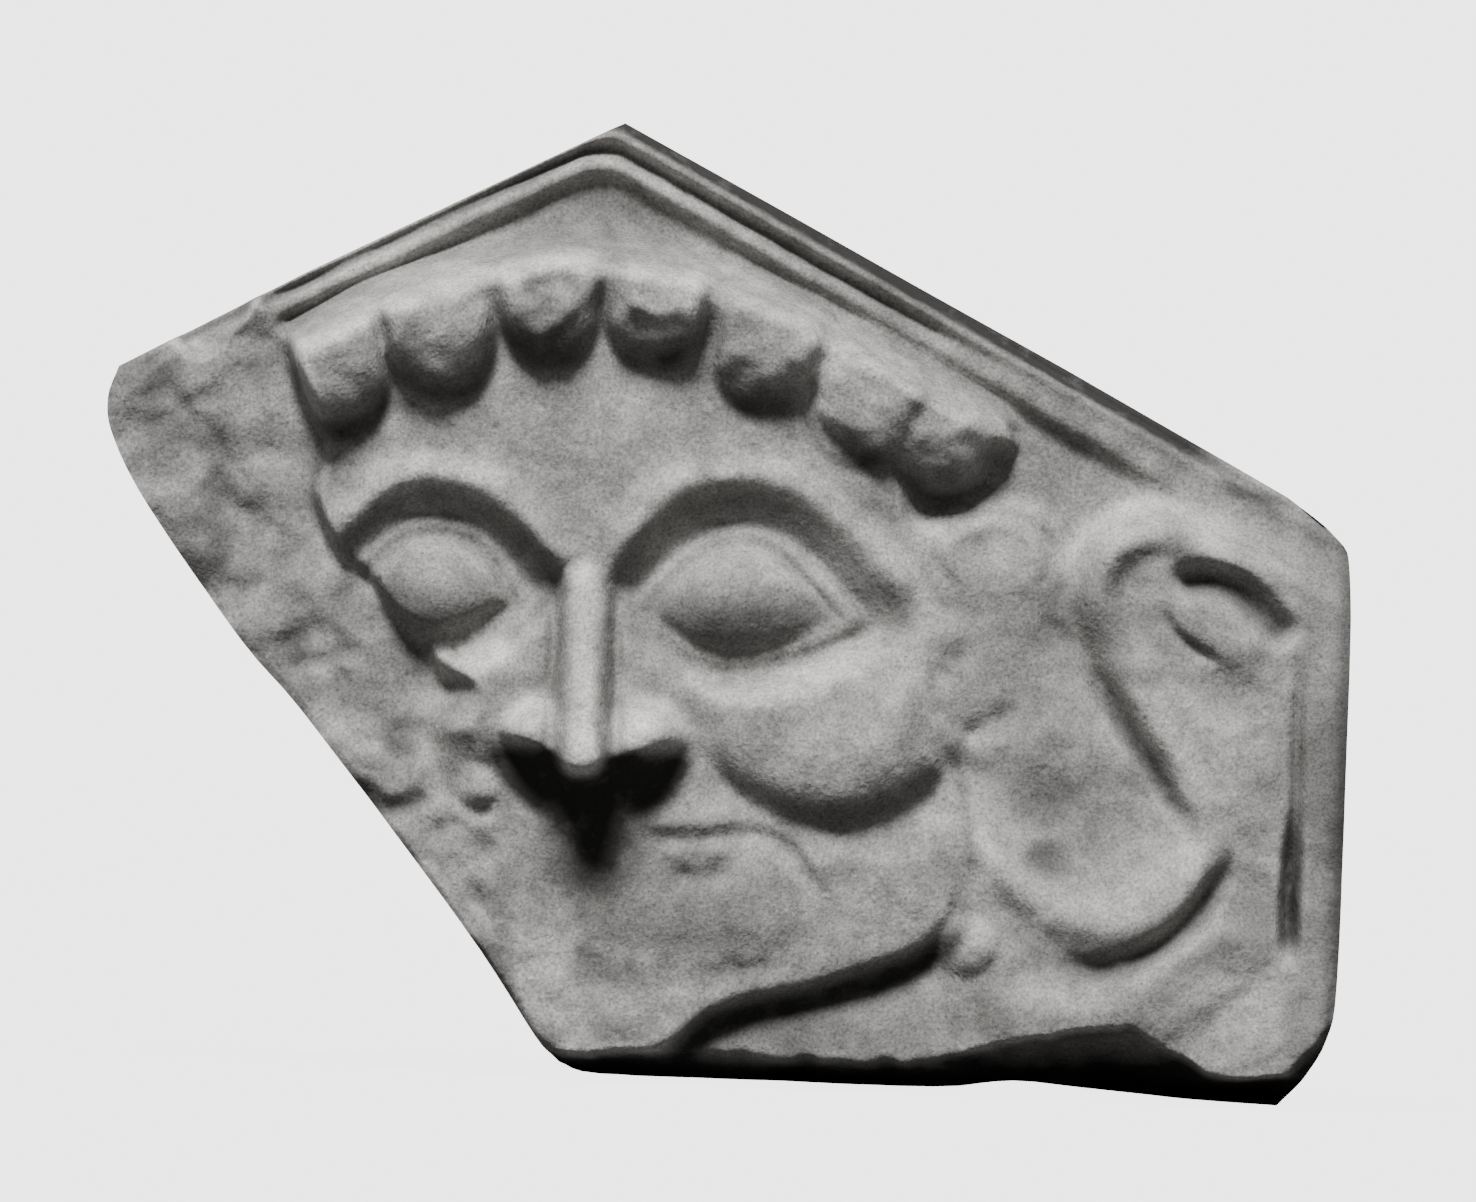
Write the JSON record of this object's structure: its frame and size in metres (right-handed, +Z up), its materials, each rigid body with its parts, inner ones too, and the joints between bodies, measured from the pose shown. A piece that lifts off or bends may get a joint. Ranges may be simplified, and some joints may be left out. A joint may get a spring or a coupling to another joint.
{
  "type": "gorgon antefix",
  "caption": "Gabled fired-clay plaque with a gorgon's mask in relief, rolled locks, a coiled snake at one side and moulded rakes, broken away at the other; flat back to fix to a roof edge.",
  "frame": {"origin": "on the flat back, below the gable's apex and midway up the height", "axes": "+X to the right of the relief seen from the front, +Y out of the flat back, +Z up to the apex; the relief faces -Y"},
  "size_m": [0.2508, 0.058, 0.192],
  "materials": {
    "fired_clay": "matte, fine-grained fired clay, worn, with broken faces at the left and along the foot"
  },
  "bodies": {
    "root": {"gorgon_antefix": "fired_clay"}
  },
  "joints": []
}
